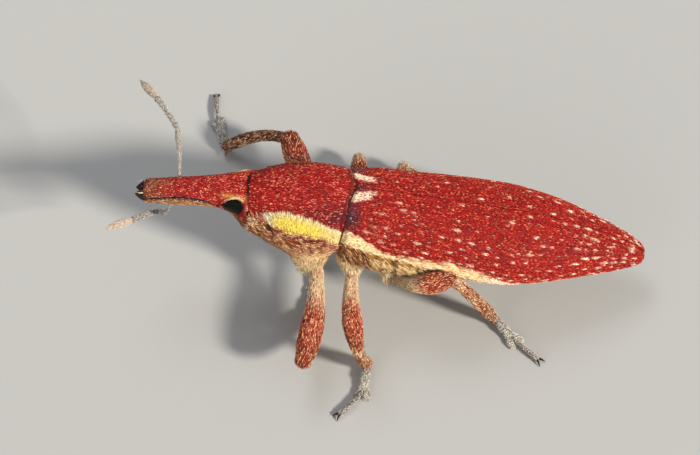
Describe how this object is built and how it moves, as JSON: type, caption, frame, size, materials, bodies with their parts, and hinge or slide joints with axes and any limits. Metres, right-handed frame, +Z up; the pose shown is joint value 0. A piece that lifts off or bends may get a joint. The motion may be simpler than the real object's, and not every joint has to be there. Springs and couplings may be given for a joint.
{
  "type": "weevil",
  "caption": "Slender red weevil in life size, standing, with a long straight rostrum, elbowed feelers, a yellow stripe on each flank of the pronotum and pale spots on the wing cases.",
  "frame": {"origin": "centre of the bounding box, on the floor that the feet stand on", "axes": "+X towards the tail, -Y towards the weevil's left side, +Z up"},
  "size_m": [0.015, 0.011, 0.0051],
  "materials": {
    "wing_case": "hard cuticle with short hairs",
    "pronotum": "hard cuticle with short hairs",
    "head": "hard cuticle with short hairs",
    "eye": "glossy facets",
    "jaw": "glossy",
    "underside": "cuticle with long cream hairs",
    "hip": "cuticle with long cream hairs",
    "thigh": "cuticle with pale hairs",
    "shin": "cuticle with golden hairs",
    "foot": "cuticle with grey hairs",
    "feeler": "cuticle with fine white hairs",
    "feeler_club": "velvety"
  },
  "bodies": {
    "root": {"antenna_left_club": "feeler_club", "antenna_left_funicle": "feeler", "antenna_left_scape": "feeler", "antenna_right_club": "feeler_club", "antenna_right_funicle": "feeler", "antenna_right_scape": "feeler", "claw_front_left": "foot", "claw_front_right": "foot", "claw_hind_left": "foot", "claw_hind_right": "foot", "claw_mid_left": "foot", "claw_mid_right": "foot", "coxa_front_left": "hip", "coxa_front_right": "hip", "coxa_hind_left": "hip", "coxa_hind_right": "hip", "coxa_mid_left": "hip", "coxa_mid_right": "hip", "elytron_left": "wing_case", "elytron_right": "wing_case", "eye_left": "eye", "eye_right": "eye", "femur_front_left": "thigh", "femur_front_right": "thigh", "femur_hind_left": "thigh", "femur_hind_right": "thigh", "femur_mid_left": "thigh", "femur_mid_right": "thigh", "head": "head", "mandibles": "jaw", "mesothorax": "underside", "metathorax": "underside", "prothorax": "pronotum", "rostrum": "head", "tarsus_front_left": "foot", "tarsus_front_right": "foot", "tarsus_hind_left": "foot", "tarsus_hind_right": "foot", "tarsus_mid_left": "foot", "tarsus_mid_right": "foot", "tibia_front_left": "shin", "tibia_front_right": "shin", "tibia_hind_left": "shin", "tibia_hind_right": "shin", "tibia_mid_left": "shin", "tibia_mid_right": "shin", "ventrite_1": "underside", "ventrite_2": "underside", "ventrite_3": "underside", "ventrite_4": "underside", "ventrite_5": "underside"}
  },
  "joints": []
}
